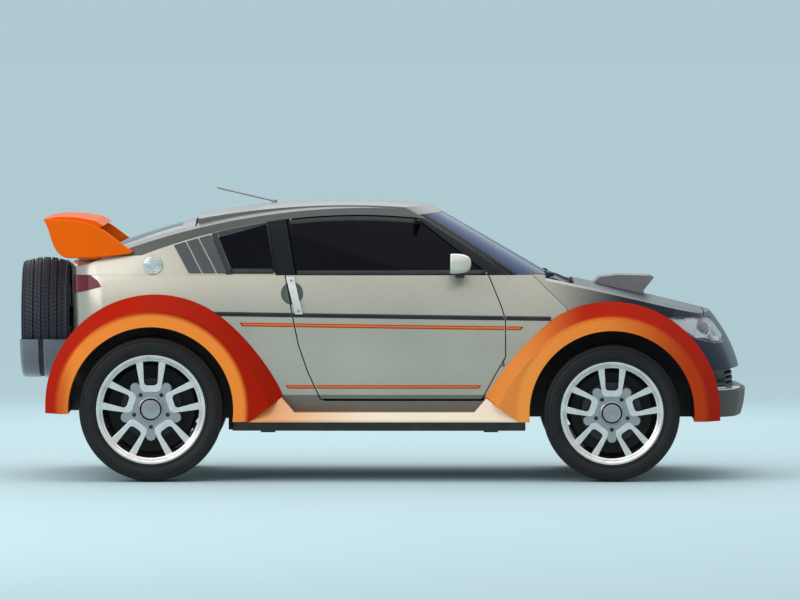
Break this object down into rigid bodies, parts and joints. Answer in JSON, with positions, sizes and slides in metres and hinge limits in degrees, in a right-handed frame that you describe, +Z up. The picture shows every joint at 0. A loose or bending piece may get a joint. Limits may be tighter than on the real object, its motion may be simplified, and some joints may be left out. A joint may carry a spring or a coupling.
{
  "type": "two-door crossover coupe with flared arches and a tail-mounted spare wheel",
  "caption": "Two-door off-road coupe with flared arches, tail wing, bonnet scoop, roof rails and a spare wheel on the tail; doors, bonnet and tailgate open, wheels roll and steer.",
  "frame": {"origin": "on the ground, at the centre of the bounding box seen from above", "axes": "+X forward, +Y to the car's left, +Z up"},
  "size_m": [4.07, 1.97, 1.6178],
  "materials": {
    "body_silver": "satin",
    "rail_grey": "satin",
    "roof_silver": "satin",
    "bonnet_slate": "satin",
    "flare_orange": "satin",
    "step_cream": "satin",
    "wing_orange": "satin",
    "dark_glass": "polished",
    "blue_glass": "polished",
    "trim_black": "matte",
    "tyre_rubber": "matte",
    "rim_silver": "brushed",
    "dark_steel": "matte",
    "lamp_red": "polished",
    "lamp_clear": "polished",
    "cradle_grey": "satin",
    "lip_brown": "matte",
    "seat_cloth": "matte"
  },
  "bodies": {
    "chassis": {"floor_pan": "trim_black", "firewall": "trim_black", "sills": "body_silver", "rear_quarter_right": "body_silver", "rear_quarter_left": "body_silver", "front_posts": "body_silver", "front_fenders": "bonnet_slate", "roof_rails": "rail_grey", "front_pillars": "trim_black", "middle_pillars": "trim_black", "roof_panel": "roof_silver", "nose_panel": "bonnet_slate", "front_lip": "lip_brown", "front_grille": "trim_black", "headlamps": "lamp_clear", "windscreen": "blue_glass", "quarter_glass": "dark_glass", "front_flares": "flare_orange", "rear_flares": "flare_orange", "side_steps": "step_cream", "front_liners": "trim_black", "rear_liners": "trim_black", "tail_panel": "body_silver", "tail_lamps": "lamp_red", "fuel_cap": "rim_silver", "side_louvres": "rail_grey", "engine_block": "dark_steel", "front_suspension": "dark_steel", "rear_axle": "dark_steel", "seats": "seat_cloth", "dashboard": "trim_black", "steering_wheel": "trim_black", "antenna": "trim_black", "spare_tyre": "tyre_rubber", "spare_rim": "rim_silver", "spare_cradle": "cradle_grey"},
    "bonnet": {"bonnet_panel": "bonnet_slate", "bonnet_scoop": "rail_grey"},
    "tailgate": {"tailgate_shell": "roof_silver", "tailgate_glass": "dark_glass", "rear_wing": "wing_orange"},
    "door_right": {"door_shell_right": "body_silver", "door_glass_right": "dark_glass", "door_mirror_right": "trim_black", "door_handle_right": "rim_silver"},
    "knuckle_right": {"knuckle_right": "dark_steel"},
    "wheel_front_right": {"front_tyre_right": "tyre_rubber", "front_rim_right": "rim_silver"},
    "wheel_rear_right": {"rear_tyre_right": "tyre_rubber", "rear_rim_right": "rim_silver"},
    "door_left": {"door_shell_left": "body_silver", "door_glass_left": "dark_glass", "door_mirror_left": "trim_black", "door_handle_left": "rim_silver"},
    "knuckle_left": {"knuckle_left": "dark_steel"},
    "wheel_front_left": {"front_tyre_left": "tyre_rubber", "front_rim_left": "rim_silver"},
    "wheel_rear_left": {"rear_tyre_left": "tyre_rubber", "rear_rim_left": "rim_silver"}
  },
  "joints": [
    {"name": "bonnet_hinge", "type": "hinge", "parent": "chassis", "child": "bonnet", "pos_m": [1.07, 0, 1.088], "axis": [0, -1, 0], "range_deg": [0, 55]},
    {"name": "tailgate_hinge", "type": "hinge", "parent": "chassis", "child": "tailgate", "pos_m": [-1.05, 0, 1.432], "axis": [0, 1, 0], "range_deg": [0, 60]},
    {"name": "door_right_hinge", "type": "hinge", "parent": "chassis", "child": "door_right", "pos_m": [0.66, -0.816, 0.7575], "axis": [0, 0, 1], "range_deg": [0, 65]},
    {"name": "steer_right", "type": "hinge", "parent": "chassis", "child": "knuckle_right", "pos_m": [1.266, -0.718, 0.38], "axis": [0, 0, 1], "range_deg": [-30, 30]},
    {"name": "wheel_front_right_spin", "type": "hinge", "parent": "knuckle_right", "child": "wheel_front_right", "pos_m": [1.266, -0.768, 0.38], "axis": [0, 1, 0], "continuous": true},
    {"name": "wheel_rear_right_spin", "type": "hinge", "parent": "chassis", "child": "wheel_rear_right", "pos_m": [-1.284, -0.758, 0.401], "axis": [0, 1, 0], "continuous": true},
    {"name": "door_left_hinge", "type": "hinge", "parent": "chassis", "child": "door_left", "pos_m": [0.66, 0.816, 0.7575], "axis": [0, 0, -1], "range_deg": [0, 65]},
    {"name": "steer_left", "type": "hinge", "parent": "chassis", "child": "knuckle_left", "pos_m": [1.266, 0.718, 0.38], "axis": [0, 0, 1], "range_deg": [-30, 30]},
    {"name": "wheel_front_left_spin", "type": "hinge", "parent": "knuckle_left", "child": "wheel_front_left", "pos_m": [1.266, 0.768, 0.38], "axis": [0, 1, 0], "continuous": true},
    {"name": "wheel_rear_left_spin", "type": "hinge", "parent": "chassis", "child": "wheel_rear_left", "pos_m": [-1.284, 0.758, 0.401], "axis": [0, 1, 0], "continuous": true}
  ],
  "couplings": [
    {"joint": "steer_right", "follows": "steer_left", "ratio": 1}
  ]
}
